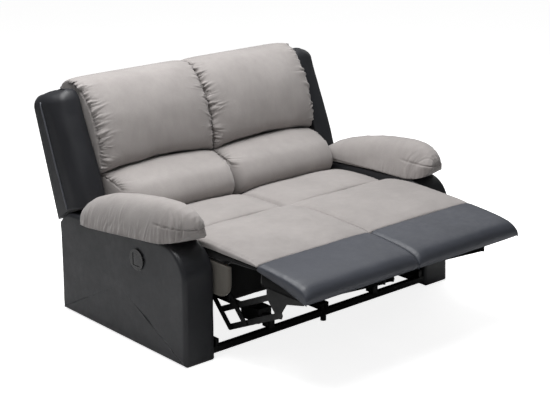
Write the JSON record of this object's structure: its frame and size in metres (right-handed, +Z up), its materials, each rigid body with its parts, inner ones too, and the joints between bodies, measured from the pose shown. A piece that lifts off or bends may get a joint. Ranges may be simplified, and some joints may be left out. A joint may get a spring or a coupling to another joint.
{
  "type": "reclining sofa",
  "caption": "Power reclining loveseat: padded seats and backs on folding steel mechanisms between upholstered arms, with footrests that fold out and backs that recline.",
  "frame": {"origin": "on the floor, in the middle of the footprint of the sofa with its footrests out", "axes": "+X across the seats (the viewer's right seen from the front), +Y to the back, +Z up"},
  "size_m": [1.5404, 1.5484, 0.9818],
  "materials": {
    "grey_microfibre": "brushed grey microfibre with a short nap",
    "dark_leather": "dark grey faux leather, satin",
    "footrest_leather": "slate grey faux leather, satin",
    "frame_wood": "bare plywood and softwood",
    "black_steel": "black powder coat",
    "spring_steel": "oiled spring steel",
    "nylon": "black nylon",
    "motor_plastic": "black moulded housing",
    "control_black": "black, satin gloss"
  },
  "bodies": {
    "base": {"arm_frames": "frame_wood", "left_arm_cover": "dark_leather", "right_arm_cover": "dark_leather", "left_arm_pad": "grey_microfibre", "right_arm_pad": "grey_microfibre", "cross_tubes": "black_steel", "feet": "nylon", "rear_board": "dark_leather", "power_inlet": "control_black", "seat_tracks": "black_steel", "back_uprights": "black_steel", "left_control_bezel": "control_black", "right_control_bezel": "control_black", "left_actuator_motor": "motor_plastic", "right_actuator_motor": "motor_plastic"},
    "left_seat": {"left_seat_boards": "grey_microfibre", "left_seat_rails": "frame_wood", "left_seat_springs": "spring_steel", "left_seat_plates": "black_steel", "left_slide_shoes": "nylon", "left_drive_nut": "black_steel", "left_seat_cushion": "grey_microfibre"},
    "left_footrest": {"left_footrest_board": "frame_wood", "left_footrest_brackets": "black_steel", "left_calf_pad": "grey_microfibre", "left_footrest_pad": "footrest_leather"},
    "left_front_lever": {"left_front_lever": "black_steel"},
    "left_rear_lever": {"left_rear_lever": "black_steel"},
    "left_upper_coupler": {"left_upper_coupler": "black_steel"},
    "left_lower_coupler": {"left_lower_coupler": "black_steel"},
    "left_back": {"left_back_frame": "frame_wood", "left_back_panel": "dark_leather", "left_upper_cushion": "grey_microfibre", "left_lumbar_cushion": "grey_microfibre", "left_back_wing": "dark_leather"},
    "left_button": {"left_control_button": "control_black"},
    "right_seat": {"right_seat_boards": "grey_microfibre", "right_seat_rails": "frame_wood", "right_seat_springs": "spring_steel", "right_seat_plates": "black_steel", "right_slide_shoes": "nylon", "right_drive_nut": "black_steel", "right_seat_cushion": "grey_microfibre"},
    "right_footrest": {"right_footrest_board": "frame_wood", "right_footrest_brackets": "black_steel", "right_calf_pad": "grey_microfibre", "right_footrest_pad": "footrest_leather"},
    "right_front_lever": {"right_front_lever": "black_steel"},
    "right_rear_lever": {"right_rear_lever": "black_steel"},
    "right_upper_coupler": {"right_upper_coupler": "black_steel"},
    "right_lower_coupler": {"right_lower_coupler": "black_steel"},
    "right_back": {"right_back_frame": "frame_wood", "right_back_panel": "dark_leather", "right_upper_cushion": "grey_microfibre", "right_lumbar_cushion": "grey_microfibre", "right_back_wing": "dark_leather"},
    "right_button": {"right_control_button": "control_black"}
  },
  "joints": [
    {"name": "left_seat_slide", "type": "slide", "parent": "base", "child": "left_seat", "axis": [0, 1, 0], "range_m": [0, 0.05]},
    {"name": "left_footrest_fold", "type": "hinge", "parent": "left_seat", "child": "left_footrest", "pos_m": [-0.3, -0.42163, 0.47], "axis": [1, 0, 0], "range_deg": [0, 88]},
    {"name": "left_front_lever_pivot", "type": "hinge", "parent": "left_seat", "child": "left_front_lever", "pos_m": [-0.3, -0.22224, 0.37702], "axis": [1, 0, 0], "range_deg": [0, 88]},
    {"name": "left_rear_lever_pivot", "type": "hinge", "parent": "left_seat", "child": "left_rear_lever", "pos_m": [-0.3, -0.13161, 0.33476], "axis": [1, 0, 0], "range_deg": [0, 88]},
    {"name": "left_upper_coupler_pivot", "type": "hinge", "parent": "left_front_lever", "child": "left_upper_coupler", "pos_m": [-0.3, -0.34728, 0.24754], "axis": [1, 0, 0], "range_deg": [-88, 0]},
    {"name": "left_lower_coupler_pivot", "type": "hinge", "parent": "left_front_lever", "child": "left_lower_coupler", "pos_m": [-0.3, -0.40285, 0.19], "axis": [1, 0, 0], "range_deg": [-88, 0]},
    {"name": "left_back_recline", "type": "hinge", "parent": "base", "child": "left_back", "pos_m": [-0.3, 0.43337, 0.26], "axis": [-1, 0, 0], "range_deg": [0, 26]},
    {"name": "left_button_rock", "type": "hinge", "parent": "base", "child": "left_button", "pos_m": [-0.74133, 0.04137, 0.374], "axis": [0, 1, 0], "range_deg": [-6, 6], "stiffness_Nm_per_rad": 0.5},
    {"name": "right_seat_slide", "type": "slide", "parent": "base", "child": "right_seat", "axis": [0, 1, 0], "range_m": [0, 0.05]},
    {"name": "right_footrest_fold", "type": "hinge", "parent": "right_seat", "child": "right_footrest", "pos_m": [0.3, -0.42163, 0.47], "axis": [1, 0, 0], "range_deg": [0, 88]},
    {"name": "right_front_lever_pivot", "type": "hinge", "parent": "right_seat", "child": "right_front_lever", "pos_m": [0.3, -0.22224, 0.37702], "axis": [1, 0, 0], "range_deg": [0, 88]},
    {"name": "right_rear_lever_pivot", "type": "hinge", "parent": "right_seat", "child": "right_rear_lever", "pos_m": [0.3, -0.13161, 0.33476], "axis": [1, 0, 0], "range_deg": [0, 88]},
    {"name": "right_upper_coupler_pivot", "type": "hinge", "parent": "right_front_lever", "child": "right_upper_coupler", "pos_m": [0.3, -0.34728, 0.24754], "axis": [1, 0, 0], "range_deg": [-88, 0]},
    {"name": "right_lower_coupler_pivot", "type": "hinge", "parent": "right_front_lever", "child": "right_lower_coupler", "pos_m": [0.3, -0.40285, 0.19], "axis": [1, 0, 0], "range_deg": [-88, 0]},
    {"name": "right_back_recline", "type": "hinge", "parent": "base", "child": "right_back", "pos_m": [0.3, 0.43337, 0.26], "axis": [-1, 0, 0], "range_deg": [0, 26]},
    {"name": "right_button_rock", "type": "hinge", "parent": "base", "child": "right_button", "pos_m": [0.74133, 0.04137, 0.374], "axis": [0, 1, 0], "range_deg": [-6, 6], "stiffness_Nm_per_rad": 0.5}
  ],
  "couplings": [
    {"joint": "left_seat_slide", "follows": "left_footrest_fold", "m_per_rad": 0.032553},
    {"joint": "left_front_lever_pivot", "follows": "left_footrest_fold", "ratio": 1},
    {"joint": "left_rear_lever_pivot", "follows": "left_footrest_fold", "ratio": 1},
    {"joint": "left_upper_coupler_pivot", "follows": "left_footrest_fold", "ratio": -1},
    {"joint": "left_lower_coupler_pivot", "follows": "left_footrest_fold", "ratio": -1},
    {"joint": "right_seat_slide", "follows": "right_footrest_fold", "m_per_rad": 0.032553},
    {"joint": "right_front_lever_pivot", "follows": "right_footrest_fold", "ratio": 1},
    {"joint": "right_rear_lever_pivot", "follows": "right_footrest_fold", "ratio": 1},
    {"joint": "right_upper_coupler_pivot", "follows": "right_footrest_fold", "ratio": -1},
    {"joint": "right_lower_coupler_pivot", "follows": "right_footrest_fold", "ratio": -1}
  ]
}
